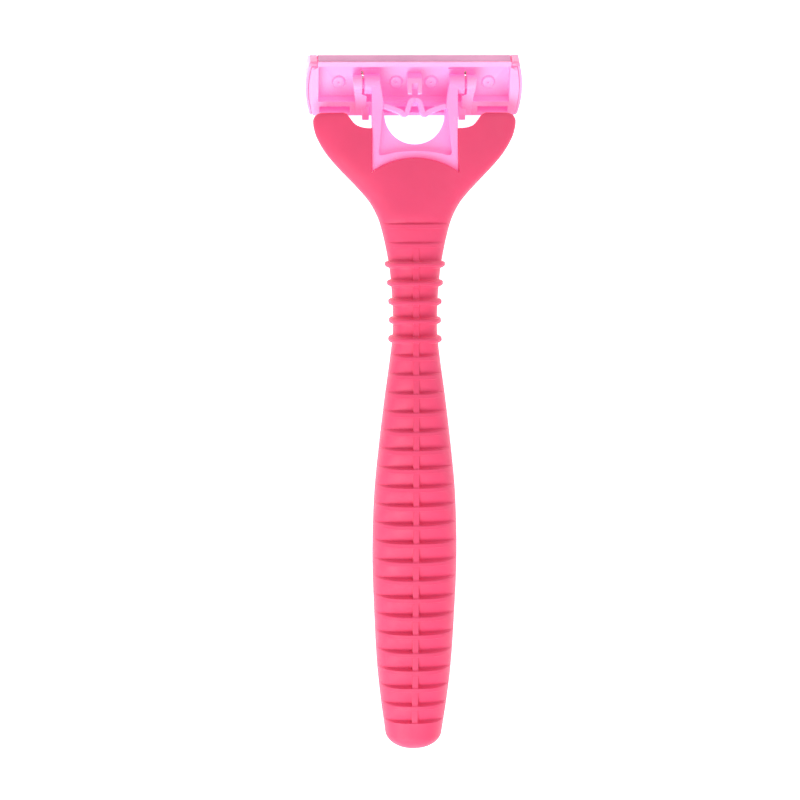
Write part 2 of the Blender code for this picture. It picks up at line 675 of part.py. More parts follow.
# ---------------------------------------------------------------- the cartridge
def make_tray(cartridge, material):
    outline = bowed_outline(TRAY_HALF_WIDTH, -TRAY_GUARD_EDGE, TRAY_CAP_EDGE)
    tray = make_plate("cartridge_tray", outline, -TRAY_DEPTH, 0.0, cartridge, material)
    boolean(tray, make_box("panel_recess", (-PANEL_HALF_WIDTH, PANEL_BOTTOM, PANEL_FLOOR),
                           (PANEL_HALF_WIDTH, PANEL_TOP, 0.001), cartridge))
    boolean(tray, make_box("strip_seat", (-0.03, STRIP_SEAT_V - SEAT_GAP, -0.01),
                           (0.03, 0.02, STRIP_BACK + SEAT_GAP), cartridge))
    for side in (-1, 1):
        near = side * (STRIP_HALF_LENGTH + SEAT_GAP)
        far = side * 0.03
        low = (min(near, far), PANEL_TOP - SEAT_GAP, -0.01)
        high = (max(near, far), 0.02, 0.01)
        boolean(tray, make_box(f"corner_seat_{side + 1}", low, high, cartridge))
    for index, (left, right) in enumerate(WINDOWS):
        boolean(tray, make_box(f"window_{index}", (left, WINDOW_BOTTOM, -0.01),
                               (right, WINDOW_TOP, 0.01), cartridge))
    root = PANEL_FLOOR - TRAY_FLOOR / 2
    boss_profile = [(-BOSS_GUARD_EDGE, root), (-BOSS_GUARD_EDGE, BOSS_HEIGHT),
                    (BOSS_CREST - BOSS_GUARD_EDGE, BOSS_HEIGHT), (BOSS_CAP_EDGE, 0.0001),
                    (BOSS_CAP_EDGE, root)]
    boss = make_plate("boss", boss_profile, -BOSS_HALF_WIDTH, BOSS_HALF_WIDTH, cartridge,
                      turn=PROFILE)
    boolean(tray, boss, "UNION")
    boolean(tray, make_box("boss_channel",
                           (-BOSS_CHANNEL_HALF, -0.01, BOSS_HEIGHT - BOSS_CHANNEL_DEPTH),
                           (BOSS_CHANNEL_HALF, BOSS_CHANNEL_END, 0.01), cartridge))
    slit = JOURNAL_OUTER + BRACKET_SLIT
    foot = slit - BRACKET_STEP
    bracket_plan = [(BRACKET_OUTER, BRACKET_RADIUS), (slit, BRACKET_RADIUS),
                    (slit, BRACKET_STEP_V + BRACKET_CORNER),
                    (foot, BRACKET_STEP_V - BRACKET_CORNER),
                    (foot + BRACKET_CORNER, -BRACKET_GUARD_EDGE),
                    (foot + FOOT_WIDTH, -BRACKET_GUARD_EDGE)]
    turns = [math.radians(angle) for angle in range(-30, 151, 20)]
    bracket_profile = [(0.0005, root)]
    bracket_profile += [(BRACKET_RADIUS * math.cos(turn), BRACKET_RADIUS * math.sin(turn))
                        for turn in turns]
    bracket_profile += [(-BRACKET_GUARD_EDGE, 0.0001), (-BRACKET_GUARD_EDGE, root)]
    heel_inner = PLATE_HALF_WIDTH + HEEL_CLEARANCE
    for side in (-1, 1):
        near, far = sorted((side * ARM_INNER, side * (slit - SEAT_GAP)))
        pad = make_box(f"arm_pad_{side + 1}", (near, PAD_EDGES[0], root),
                       (far, PAD_EDGES[1], PANEL_FLOOR + PAD_HEIGHT), cartridge)
        boolean(tray, pad, "UNION")
        near, far = sorted((side * JOURNAL_OUTER, side * (slit + SEAT_GAP)))
        boolean(tray, make_box(f"pivot_window_{side + 1}", (near, -PIVOT_WINDOW_HALF, -0.01),
                               (far, PIVOT_WINDOW_HALF, 0.0), cartridge))
        plan = [(side * x, v) for x, v in bracket_plan]
        bracket = make_plate(f"bracket_{side + 1}", plan, root, BRACKET_RADIUS + 0.001, cartridge)
        shape = make_plate(f"bracket_shape_{side + 1}", bracket_profile, -0.03, 0.03, cartridge,
                           turn=PROFILE)
        boolean(bracket, shape, "INTERSECT")
        boolean(tray, bracket, "UNION")
        near, far = sorted((side * heel_inner, side * (heel_inner + HEEL_WIDTH)))
        heel = make_plate(f"heel_{side + 1}", HEEL_PROFILE, near, far, cartridge, turn=PROFILE)
        boolean(tray, heel, "UNION")
        bore = make_rod(f"bore_{side + 1}", PIN_RADIUS + BORE_GAP, (side * PLATE_HALF_WIDTH, 0, 0),
                        (side * (PIN_OUTER + BORE_GAP), 0, 0), cartridge)
        boolean(tray, bore)
    for index, x in enumerate(RIVET_POSITIONS):
        hole = make_rod(f"post_hole_{index}", POST_RADIUS + MOULD_GAP, (x, RIVET_V, -0.01),
                        (x, RIVET_V, -0.001), cartridge)
        boolean(tray, hole)
    return tray


def make_blade_frame(cartridge, material):
    """Guard bar, cap bar, ends and cross bars in one, with the four posts headed over."""
    top_v = STRIP_FRAME_SEAT_V - SEAT_GAP
    outline = bowed_outline(TRAY_HALF_WIDTH, -TRAY_GUARD_EDGE, top_v)
    frame = make_plate("blade_frame", outline, FRAME_FRONT, FRAME_BACK, cartridge, material)
    field_low = BLADE_FIRST_V - BLADE_PITCH
    field_high = BLADE_FIRST_V + (BLADE_COUNT - 1) * BLADE_PITCH + BLADE_FIELD_MARGIN
    half = BLADE_HALF_LENGTH + SEAT_GAP
    boolean(frame, make_box("blade_field", (-half, field_low, -0.01),
                            (half, field_high, FRAME_BACK - FRAME_WEB), cartridge))
    edges = [-half]
    for x in RIVET_POSITIONS:
        edges += [x - CROSS_BAR_HALF, x + CROSS_BAR_HALF]
    edges.append(half)
    for index in range(0, len(edges), 2):
        boolean(frame, make_box(f"frame_window_{index}", (edges[index], field_low, -0.01),
                                (edges[index + 1], field_high, 0.0), cartridge))
    boolean(frame, make_box("frame_rinse", (-half, WINDOW_BOTTOM, -0.0042),
                            (half, WINDOW_TOP + 0.0003, 0.0), cartridge))
    head_bottom = PANEL_FLOOR + MOULD_GAP
    for index, x in enumerate(RIVET_POSITIONS):
        post = make_rod(f"post_{index}", POST_RADIUS, (x, RIVET_V, FRAME_BACK - FRAME_WEB / 2),
                        (x, RIVET_V, head_bottom + RIVET_HEIGHT / 2), cartridge)
        boolean(frame, post, "UNION")
        head = make_rod(f"rivet_{index}", RIVET_RADIUS, (x, RIVET_V, head_bottom),
                        (x, RIVET_V, head_bottom + RIVET_HEIGHT), cartridge,
                        end_radius=RIVET_RADIUS * 0.8)
        boolean(frame, head, "UNION")
        dimple = make_rod(f"dimple_{index}", DIMPLE_RADIUS / 4, (x, RIVET_V, head_bottom + 0.0001),
                          (x, RIVET_V, head_bottom + RIVET_HEIGHT + 0.0001), cartridge,
                          end_radius=DIMPLE_RADIUS)
        boolean(frame, dimple)
    return frame


def blade_profile(offset, thickness, length, with_leg):
    """Profile of a support (a leg with a bent leaf) or of a blade lying on that leaf."""
    along = Vector((-math.cos(BLADE_ANGLE), -math.sin(BLADE_ANGLE)))
    normal = Vector((math.sin(BLADE_ANGLE), -math.cos(BLADE_ANGLE)))
    bend = Vector((0.0, -SUPPORT_LEG)) + normal * offset
    outer = bend + normal * thickness / 2
    inner = bend - normal * thickness / 2
    if not with_leg:
        start = along * -0.0001
        return [outer + start, inner + start, inner + along * length,
                outer + along * (length + thickness)]
    half = thickness / 2
    return [Vector((half, 0.0)), Vector((-half, 0.0)),
            Vector((-half, inner.y - half * math.tan(BLADE_ANGLE))),
            inner + along * length, outer + along * length,
            Vector((half, outer.y + half * math.tan(BLADE_ANGLE)))]


def make_blades(cartridge, steel, support_steel):
    back = FRAME_BACK - FRAME_WEB - SEAT_GAP
    offset = SUPPORT_THICKNESS / 2 + MOULD_GAP + BLADE_THICKNESS / 2
    for index in range(BLADE_COUNT):
        place = Vector((BLADE_FIRST_V + index * BLADE_PITCH, back))
        support = [tuple(point + place) for point in
                   blade_profile(0.0, SUPPORT_THICKNESS, SUPPORT_LEAF, True)]
        make_plate(f"blade_support_{index + 1}", support, -BLADE_HALF_LENGTH, BLADE_HALF_LENGTH,
                   cartridge, support_steel, turn=PROFILE)
        blade = [tuple(point + place) for point in
                 blade_profile(offset, BLADE_THICKNESS, BLADE_WIDTH, False)]
        make_plate(f"blade_{index + 1}", blade, -BLADE_HALF_LENGTH, BLADE_HALF_LENGTH,
                   cartridge, steel, turn=PROFILE)


def make_guard_fins(cartridge, material):
    near, far = GUARD_STRIP
    base = FRAME_FRONT - SEAT_GAP
    valley = base - GUARD_FIN_HEIGHT * 0.4
    peak = base - GUARD_FIN_HEIGHT * 1.4
    pitch = (far - near) / GUARD_FINS
    profile = [(near, base)]
    for index in range(GUARD_FINS):
        start = near + index * pitch
        profile += [(start + pitch * 0.05, valley), (start + pitch * 0.35, peak),
                    (start + pitch * 0.65, peak), (start + pitch * 0.95, valley)]
    profile.append((far, base))
    make_plate("guard_fins", profile, -GUARD_STRIP_HALF_LENGTH, GUARD_STRIP_HALF_LENGTH,
               cartridge, material, turn=PROFILE)


def make_lubricating_strip(cartridge, material):
    edge = CAP_EDGE
    under = FRAME_FRONT - SEAT_GAP
    profile = [(STRIP_SEAT_V, STRIP_BACK), (edge - STRIP_CHAMFER_WIDTH, STRIP_BACK),
               (edge, STRIP_BACK - STRIP_CHAMFER_HEIGHT),
               (edge, CAP_SLOPE_W), (CAP_SLOPE_V, STRIP_FRONT), (STRIP_INNER_V, STRIP_FRONT),
               (STRIP_INNER_V, under), (STRIP_FRAME_SEAT_V, under),
               (STRIP_FRAME_SEAT_V, FRAME_BACK), (STRIP_SEAT_V, FRAME_BACK)]
    make_plate("lubricating_strip", profile, -STRIP_HALF_LENGTH, STRIP_HALF_LENGTH, cartridge,
               material, turn=PROFILE)


def make_end_cap(name, side, cartridge, material):
    """A bowed end wall with a block at the cap edge and a lip over the ends of the blades."""
    inner_edge = TRAY_HALF_WIDTH + SEAT_GAP
    guard_edge = -TRAY_GUARD_EDGE + SEAT_GAP
    cap_edge = CAP_EDGE
    inner = bowed_end(inner_edge, guard_edge, cap_edge)
    outer = bowed_end(inner_edge + END_CAP_WALL, guard_edge, cap_edge, END_CORNER)
    wall = [(side * x, v) for x, v in outer + list(reversed(inner))]
    cap = make_plate(name, wall, LIP_FRONT, -SEAT_GAP, cartridge, material)
    block_inner = STRIP_HALF_LENGTH + 2 * SEAT_GAP
    block_outer = inner_edge + END_CAP_WALL / 2
    blocks = (("back", PANEL_TOP + SEAT_GAP, FRAME_BACK - 0.0002, 0.0),
              ("front", STRIP_FRAME_SEAT_V + SEAT_GAP, LIP_FRONT, FRAME_BACK))
    for part, low_v, low, high in blocks:
        near, far = sorted((side * block_inner, side * block_outer))
        block = make_box(f"{name}_{part}_block", (near, low_v, low), (far, cap_edge, high), cartridge)
        boolean(cap, block, "UNION")
    lip = [(side * x, v) for x, v in outer] + [(side * LIP_INNER, cap_edge),
                                               (side * LIP_INNER, guard_edge)]
    lip_back = LIP_FRONT + LIP_THICKNESS
    boolean(cap, make_plate(name + "_lip", lip, LIP_FRONT, lip_back, cartridge), "UNION")
    profile = [(guard_edge - 0.001, 0.001), (guard_edge - 0.001, LIP_FRONT + LIP_CHAMFER_HEIGHT),
               (-LIP_CORNER_V, LIP_FRONT), (CAP_SLOPE_V, LIP_FRONT), (cap_edge, CAP_SLOPE_W),
               (cap_edge, -END_CHAMFER), (cap_edge - END_CHAMFER, 0.0), (cap_edge - END_CHAMFER, 0.001)]
    near, far = sorted((side * 0.01, side * 0.03))
    shape = make_plate(name + "_shape", profile, near, far, cartridge, turn=PROFILE)
    boolean(cap, shape, "INTERSECT")
    return cap


# ---------------------------------------------------------------- assembly
def centre_on_ground(root):
    """Puts the middle of the razor's box over the origin and its lowest point on the ground."""
    bpy.context.view_layer.update()
    depsgraph = bpy.context.evaluated_depsgraph_get()
    low = Vector((1, 1, 1))
    high = Vector((-1, -1, -1))
    for part in PARTS.objects:
        if part.type != "MESH":
            continue
        evaluated = part.evaluated_get(depsgraph)
        for vertex in evaluated.data.vertices:
            point = evaluated.matrix_world @ vertex.co
            low = Vector(map(min, low, point))
            high = Vector(map(max, high, point))
    root.location = (-(low.x + high.x) / 2, -(low.y + high.y) / 2, -low.z)
    bpy.context.view_layer.update()


def main():
    soft_pink = add_material("grip_rubber", (0.80, 0.09, 0.20), 0.55)
    light_pink = add_material("core_plastic", (0.95, 0.42, 0.80), 0.35)
    tray_pink = add_material("tray_plastic", (0.98, 0.50, 0.80), 0.35)
    strip_mauve = add_material("strip_polymer", (0.62, 0.33, 0.48), 0.6)
    fin_pink = add_material("fin_rubber", (0.85, 0.30, 0.50), 0.6)
    steel = add_material("blade_steel", (0.62, 0.63, 0.66), 0.18, 1.0)
    support_steel = add_material("support_steel", (0.50, 0.51, 0.53), 0.35, 1.0)

    root = add_empty("razor_root")
    head = add_empty("head_frame", root, (0, PIVOT_Y, PIVOT_Z), HEAD_SLOPE)
    cartridge = add_empty("cartridge_pivot", root, (0, PIVOT_Y, PIVOT_Z), CARTRIDGE_TILT)

    grip = make_grip(root, soft_pink)
    cut_grip_for_core(grip, root, head)
    make_core(root, head, light_pink)
    make_spring(head, light_pink)
    make_tray(cartridge, tray_pink)
    make_blade_frame(cartridge, tray_pink)
    make_blades(cartridge, steel, support_steel)
    make_guard_fins(cartridge, fin_pink)
    make_lubricating_strip(cartridge, strip_mauve)
    make_end_cap("end_cap_left", -1, cartridge, tray_pink)
    make_end_cap("end_cap_right", 1, cartridge, tray_pink)
    centre_on_ground(root)


main()
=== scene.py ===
"""Looks of the cartridge razor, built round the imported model. Units are metres.

The razor lies back upwards: +X is right across the cartridge, +Y runs from the tail to the
cartridge and +Z is up. Places on the handle are distances from the pivot axis towards the tail.
"""
import json
import math

import bmesh
import bpy
import numpy as np
from mathutils import Matrix, Vector


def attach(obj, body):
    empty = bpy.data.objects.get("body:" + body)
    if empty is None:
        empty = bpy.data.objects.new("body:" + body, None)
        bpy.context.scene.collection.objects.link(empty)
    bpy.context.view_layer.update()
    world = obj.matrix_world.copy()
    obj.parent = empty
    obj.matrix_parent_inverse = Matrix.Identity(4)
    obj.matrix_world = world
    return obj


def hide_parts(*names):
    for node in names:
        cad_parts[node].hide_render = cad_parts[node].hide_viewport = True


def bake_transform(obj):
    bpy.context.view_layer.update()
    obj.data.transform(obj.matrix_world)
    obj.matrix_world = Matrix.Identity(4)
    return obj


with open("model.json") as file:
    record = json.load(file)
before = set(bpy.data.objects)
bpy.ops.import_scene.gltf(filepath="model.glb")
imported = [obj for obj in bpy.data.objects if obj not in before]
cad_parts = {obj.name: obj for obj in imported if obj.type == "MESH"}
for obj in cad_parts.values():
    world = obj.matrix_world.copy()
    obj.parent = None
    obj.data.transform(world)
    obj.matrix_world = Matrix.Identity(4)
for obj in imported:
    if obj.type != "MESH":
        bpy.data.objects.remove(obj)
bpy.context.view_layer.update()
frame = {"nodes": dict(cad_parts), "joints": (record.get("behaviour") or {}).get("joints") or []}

JOINTS = {joint["name"]: joint for joint in frame["joints"]}
PIVOT = Vector(JOINTS["cartridge_pivot"]["pos_m"])
ARMS = -Vector(JOINTS["spring_flex"]["axis"])     # along the arms, towards the cartridge
HEAD = Matrix.Translation(PIVOT) @ Matrix.Rotation(math.atan2(ARMS.z, ARMS.y), 4, "X")

CARTRIDGE_TILT = math.radians(26.0)

# Sends a profile drawn in (along the head, out of its back) to the plane across X
PROFILE = Matrix(((0, 0, 1, 0), (1, 0, 0, 0), (0, 1, 0, 0), (0, 0, 0, 1)))

# ---------------------------------------------------------------- sizes shared with the solid model
ARCH_RADIUS = 0.580
TAIL = 0.12797                # pivot axis to the end of the tail
TAIL_CAP = 0.0034
TAIL_FLATTENING = 0.8
WING_TOP = 0.0054
WING_CORNER = 0.0017
WING_EDGE_SHARE = 0.25
# Distance from the pivot axis, half width, half height and squareness of the grip's oval
GRIP_STATIONS = np.array((
    (0.0067, 0.01922, 0.00210, 3.0),
    (0.0080, 0.01912, 0.00225, 3.0),
    (0.0101, 0.01850, 0.00250, 3.0),
    (0.0131, 0.01675, 0.00285, 3.0),
    (0.0161, 0.01418, 0.00315, 2.8),
    (0.0192, 0.01118, 0.00340, 2.6),
    (0.0222, 0.00862, 0.00365, 2.5),
    (0.0252, 0.00703, 0.00385, 2.4),
    (0.0282, 0.00612, 0.00395, 2.3),
    (0.0312, 0.00546, 0.00400, 2.2),
    (0.0350, 0.00480, 0.00405, 2.2),
    (0.0419, 0.00424, 0.00410, 2.5),
    (0.0472, 0.00424, 0.00415, 2.5),
    (0.0525, 0.00484, 0.00440, 2.5),
    (0.0594, 0.00578, 0.00490, 2.5),
    (0.0687, 0.00688, 0.00545, 2.5),
    (0.0779, 0.00774, 0.00590, 2.5),
    (0.0898, 0.00807, 0.00610, 2.5),
    (0.1014, 0.00768, 0.00600, 2.5),
    (0.1110, 0.00714, 0.00580, 2.5),
    (0.1182, 0.00638, 0.00535, 2.5),
    (0.1246, 0.00550, 0.00480, 2.5),
))
RIB_COUNT = 28
RIB_FIRST = 0.0264
RIB_LAST = TAIL - 0.0061
RIB_PITCH = (RIB_LAST - RIB_FIRST) / (RIB_COUNT - 1)
STEP_RIBS = 2
RING_RIBS = 5
PLATE_HALF_WIDTH = 0.0081
PLATE_FLARE = 0.0001
PLATE_HALF_THICKNESS = 0.0020
PLATE_FOOT = 0.0167
PLATE_ARCH = 0.0140
NOTCH_DEPTH = 0.0084
NOTCH_WIDTH = 0.0054
ARM_WIDTH = 0.0016
ARM_TAPER = 0.00055
ARM_HALF_THICKNESS = 0.00175
OPENING_RADIUS = 0.00575
OPENING_CENTRE = 0.00565
SPRING_ROOT = 0.0043
SPRING_NOSE = 0.0031
JOURNAL_RADIUS = 0.0019
JOURNAL_OUTER = 0.0095
PIN_RADIUS = 0.0009
PIN_OUTER = 0.0114

# ---------------------------------------------------------------- finer shape of the surface
RIM_LENGTH = 0.00074          # face of a rib along the handle
RIM_LEDGE = 0.00018           # small step behind each rib
WALL_RUN = 0.00032            # lean of the wall at the deep end of a pocket
POCKET_DEPTH_SHARE = 0.19
RING_DEPTH_SHARE = 0.17
STEP_DEPTH_SHARE = 0.12
POCKET_BLEND = 0.00060        # rounding between a pocket and the side of the grip
FLOOR_CROWN = 0.68            # how much of the grip's own roundness a pocket's floor keeps
SPINE_HALF_WIDTH = 0.00056
SPINE_DEPTH_SHARE = 0.15
RING_PROUD = 0.00078
RING_LENGTH = 0.00122


# ---------------------------------------------------------------- camera, light and floor
def add_camera():
    """A long lens over the back, leaning a little towards the cartridge and the left."""
    lean = math.radians(-6.6)
    side_lean = math.radians(-3.2)
    roll = math.radians(-0.38)
    distance = 0.65
    frame_width = 0.15256
    camera_data = bpy.data.cameras.new("camera")
    camera_data.sensor_width = 36.0
    camera_data.lens = 36.0 * distance / frame_width
    camera_data.clip_start = 0.01
    camera = bpy.data.objects.new("camera", camera_data)
    bpy.context.scene.collection.objects.link(camera)
    target = Vector((-0.00275, PIVOT.y - 0.0600, PIVOT.z + 0.0005))
    turn = (Matrix.Rotation(lean, 3, "X") @ Matrix.Rotation(side_lean, 3, "Y")
            @ Matrix.Rotation(roll, 3, "Z"))
    camera.rotation_euler = turn.to_euler()
    camera.location = target + turn @ Vector((0, 0, distance))
    bpy.context.scene.camera = camera


def add_area_light(name, location, size, power, colour=(1, 1, 1)):
    light = bpy.data.lights.new(name, "AREA")
    light.shape = "DISK"
    light.size = size
    light.energy = power
    light.color = colour
    lamp = bpy.data.objects.new(name, light)
    bpy.context.scene.collection.objects.link(lamp)
    lamp.location = location
    lamp.rotation_euler = (-Vector(location)).to_track_quat("-Z", "Y").to_euler()
    return lamp


def add_floor():
    mesh = bpy.data.meshes.new("floor")
    work = bmesh.new()
    bmesh.ops.create_grid(work, x_segments=1, y_segments=1, size=3.0)
    bmesh.ops.translate(work, verts=work.verts, vec=(0, 0, -0.0001))
    work.to_mesh(mesh)
    work.free()
    floor = bpy.data.objects.new("floor", mesh)
    bpy.context.scene.collection.objects.link(floor)
    material = bpy.data.materials.new("floor_white")
    material.use_nodes = True
    shader = material.node_tree.nodes["Principled BSDF"]
    shader.inputs["Base Color"].default_value = (0.90, 0.90, 0.90, 1)
    shader.inputs["Roughness"].default_value = 0.9
    shader.inputs["Emission Color"].default_value = (1, 1, 1, 1)
    shader.inputs["Emission Strength"].default_value = 0.9
    mesh.materials.append(material)


def light_scene():
    scene = bpy.context.scene
    scene.view_settings.view_transform = "Standard"
    world = bpy.data.worlds.new("studio")
    scene.world = world
    world.use_nodes = True
    background = world.node_tree.nodes["Background"]
    background.inputs["Color"].default_value = (1, 1, 1, 1)
    background.inputs["Strength"].default_value = 0.52
    add_area_light("key", (-0.30, -0.60, 0.62), 0.70, 6.8)
    add_area_light("fill", (0.50, 0.30, 0.70), 0.60, 1.6)


# ---------------------------------------------------------------- materials
def noise(tree, place, scale, detail=3.0):
    texture = tree.nodes.new("ShaderNodeTexNoise")
    texture.inputs["Scale"].default_value = scale
    texture.inputs["Detail"].default_value = detail
    tree.links.new(place, texture.inputs["Vector"])
    return texture.outputs["Fac"]


def ramp(tree, source, first, last, low=0.3, high=0.7):
    node = tree.nodes.new("ShaderNodeValToRGB")
    node.color_ramp.elements[0].position = low
    node.color_ramp.elements[1].position = high
    node.color_ramp.elements[0].color = (*first, 1)
    node.color_ramp.elements[1].color = (*last, 1)
    tree.links.new(source, node.inputs["Fac"])
    return node.outputs["Color"]


def moulded(name, colour, roughness, variation=0.04, grain=0.2, grain_scale=2500.0,
            inside=0.12, sheen=0.0, painted_glow=None):
    """Moulded plastic or elastomer: faint colour drift, fine grain, a little light inside.

    painted_glow is a painted glow: an emission colour, even all over the part, that stands in for
    the light a translucent plastic passes on into its recesses.
    """
    material = bpy.data.materials.new(name)
    material.use_nodes = True
    tree = material.node_tree
    shader = tree.nodes["Principled BSDF"]
    shader.inputs["Subsurface Weight"].default_value = inside
    shader.inputs["Subsurface Scale"].default_value = 0.0016
    shader.inputs["Subsurface Radius"].default_value = (1.0, 0.35, 0.55)
    shader.inputs["Sheen Weight"].default_value = sheen
    shader.inputs["Sheen Roughness"].default_value = 0.5
    # Painted glow: emission that brightens the whole surface, standing in for light passed on
    # through the plastic into recesses.
    if painted_glow is not None:
        shader.inputs["Emission Color"].default_value = (*painted_glow, 1)
        shader.inputs["Emission Strength"].default_value = 1.0
    place = tree.nodes.new("ShaderNodeTexCoord").outputs["Object"]
    drift = noise(tree, place, 110.0, 4.0)
    darker = [c * (1 - variation) for c in colour]
    lighter = [min(1, c * (1 + variation)) for c in colour]
    tree.links.new(ramp(tree, drift, darker, lighter), shader.inputs["Base Color"])
    patches = noise(tree, place, 420.0)
    dull = ramp(tree, patches, (roughness * 0.88,) * 3, (min(1, roughness * 1.12),) * 3)
    tree.links.new(dull, shader.inputs["Roughness"])
    bump = tree.nodes.new("ShaderNodeBump")
    bump.inputs["Strength"].default_value = grain
    bump.inputs["Distance"].default_value = 0.00002
    tree.links.new(noise(tree, place, grain_scale), bump.inputs["Height"])
    tree.links.new(bump.outputs["Normal"], shader.inputs["Normal"])
    return material


def towards_cap_edge(tree, place, start, run):
    """Goes from 0 to 1 towards the cap edge of the cartridge, start metres from the pivot axis."""
    offset = tree.nodes.new("ShaderNodeVectorMath")
    offset.operation = "SUBTRACT"
    offset.inputs[1].default_value = PIVOT
    tree.links.new(place, offset.inputs[0])
    along = tree.nodes.new("ShaderNodeVectorMath")
    along.operation = "DOT_PRODUCT"
    along.inputs[1].default_value = (0, math.cos(CARTRIDGE_TILT), math.sin(CARTRIDGE_TILT))
    tree.links.new(offset.outputs["Vector"], along.inputs[0])
    share = tree.nodes.new("ShaderNodeMapRange")
    share.inputs["From Min"].default_value = start
    share.inputs["From Max"].default_value = start + run
    tree.links.new(along.outputs["Value"], share.inputs["Value"])
    return share.outputs["Result"]


def paint_cap_edge_shade(material, colour):
    """Painted shade: the end caps turn a darker mauve, like the strip, towards the cap edge, where
    their cap-side faces get less light.
    """
    tree = material.node_tree
    shader = tree.nodes["Principled BSDF"]
    base = shader.inputs["Base Color"].links[0].from_socket
    place = tree.nodes.new("ShaderNodeTexCoord").outputs["Object"]
    mix = tree.nodes.new("ShaderNodeMix")
    mix.data_type = "RGBA"
    mix.inputs[7].default_value = (*colour, 1)
    # Painted shade mask: 0 below the cap edge, rising to 1 at it.
    tree.links.new(towards_cap_edge(tree, place, 0.0036, 0.0002), mix.inputs[0])
    tree.links.new(base, mix.inputs[6])
    tree.links.new(mix.outputs[2], shader.inputs["Base Color"])
    return material


def brushed_steel(name, colour, roughness):
    """Strip steel: fine scratches that run along the blade."""
    material = bpy.data.materials.new(name)
    material.use_nodes = True
    tree = material.node_tree
    shader = tree.nodes["Principled BSDF"]
    shader.inputs["Metallic"].default_value = 1.0
    place = tree.nodes.new("ShaderNodeTexCoord").outputs["Object"]
    stretch = tree.nodes.new("ShaderNodeMapping")
    stretch.inputs["Scale"].default_value = (60.0, 9000.0, 9000.0)
    tree.links.new(place, stretch.inputs["Vector"])
    scratches = noise(tree, stretch.outputs["Vector"], 1.0, 4.0)
    darker = [c * 0.86 for c in colour]
    tree.links.new(ramp(tree, scratches, darker, colour), shader.inputs["Base Color"])
    dull = ramp(tree, scratches, (roughness * 0.7,) * 3, (roughness * 1.3,) * 3)
    tree.links.new(dull, shader.inputs["Roughness"])
    bump = tree.nodes.new("ShaderNodeBump")
    bump.inputs["Strength"].default_value = 0.15
    bump.inputs["Distance"].default_value = 0.000005
    tree.links.new(scratches, bump.inputs["Height"])
    tree.links.new(bump.outputs["Normal"], shader.inputs["Normal"])
    return material


def make_materials():
    # The end caps, core and tray plastics carry a painted glow: emission standing in for light
    # passed through the plastic.
    end_cap = moulded("end_cap_skin", (0.97, 0.40, 0.66), 0.34, inside=0.25,
                      painted_glow=(0.30, 0.03, 0.08))
    return {
        # The end caps get painted shade, a darker mauve, towards the cap edge.
        "end_cap": paint_cap_edge_shade(end_cap, (0.86, 0.27, 0.47)),
        "grip_rubber": moulded("grip_rubber_skin", (0.85, 0.058, 0.168), 0.58, sheen=0.14),
        "core_plastic": moulded("core_plastic_skin", (0.97, 0.36, 0.70), 0.34, inside=0.25,
                                painted_glow=(0.32, 0.02, 0.09)),
        "tray_plastic": moulded("tray_plastic_skin", (0.97, 0.40, 0.70), 0.34, inside=0.25,
                                painted_glow=(0.34, 0.045, 0.11)),
        "strip_polymer": moulded("strip_polymer_skin", (0.76, 0.33, 0.53), 0.60, 0.08, 0.5, 1400.0),
        "fin_rubber": moulded("fin_rubber_skin", (0.82, 0.22, 0.42), 0.50),
        "blade_steel": brushed_steel("blade_steel_skin", (0.66, 0.67, 0.70), 0.22),
        "support_steel": brushed_steel("support_steel_skin", (0.52, 0.53, 0.55), 0.38),
    }


# ---------------------------------------------------------------- mesh helpers
def add_piece(name, mesh, material=None):
    piece = bpy.data.objects.new(name, mesh)
    bpy.context.scene.collection.objects.link(piece)
    if material is not None:
        mesh.materials.clear()
        mesh.materials.append(material)
    return piece


def smooth_shading(mesh, angle=38.0):
    mesh.shade_smooth()
    mesh.set_sharp_from_angle(angle=math.radians(angle))


def boolean(target, other, operation="DIFFERENCE"):
    """Joins or cuts at once, and removes the other shape."""
    modifier = target.modifiers.new("join", "BOOLEAN")
    modifier.object = other
    modifier.operation = operation
    modifier.solver = "EXACT"
    apply_modifiers(target)
    bpy.data.objects.remove(other, do_unlink=True)


def apply_modifiers(piece):
    bpy.context.view_layer.update()
    evaluated = piece.evaluated_get(bpy.context.evaluated_depsgraph_get())
    mesh = bpy.data.meshes.new_from_object(evaluated)
    materials = list(piece.data.materials)
    piece.modifiers.clear()
    piece.data = mesh
    mesh.materials.clear()
    for material in materials:
        mesh.materials.append(material)


def plate(name, outline, low, high, rounding=0.0, place=HEAD, steps=3):
    """A flat outline between two heights with rounded edges, sent to its place."""
    curve = bpy.data.curves.new(name, "CURVE")
    curve.dimensions = "2D"
    curve.fill_mode = "BOTH"
    curve.extrude = (high - low) / 2 - rounding
    curve.bevel_depth = rounding
    curve.bevel_resolution = steps
    curve.offset = -rounding
    spline = curve.splines.new("POLY")
    spline.points.add(len(outline) - 1)
    for point, (across, along) in zip(spline.points, outline):
        point.co = (across, along, 0, 1)
    spline.use_cyclic_u = True
    drawn = add_piece(name + "_outline", curve)
    bpy.context.view_layer.update()
    evaluated = drawn.evaluated_get(bpy.context.evaluated_depsgraph_get())
    mesh = bpy.data.meshes.new_from_object(evaluated)
    bpy.data.objects.remove(drawn, do_unlink=True)
    work = bmesh.new()
    work.from_mesh(mesh)
    bmesh.ops.remove_doubles(work, verts=work.verts, dist=2e-7)
    bmesh.ops.translate(work, verts=work.verts, vec=(0, 0, (low + high) / 2))
    bmesh.ops.transform(work, verts=work.verts, matrix=place)
    bmesh.ops.recalc_face_normals(work, faces=work.faces)
    work.to_mesh(mesh)
    work.free()
    return add_piece(name, mesh)


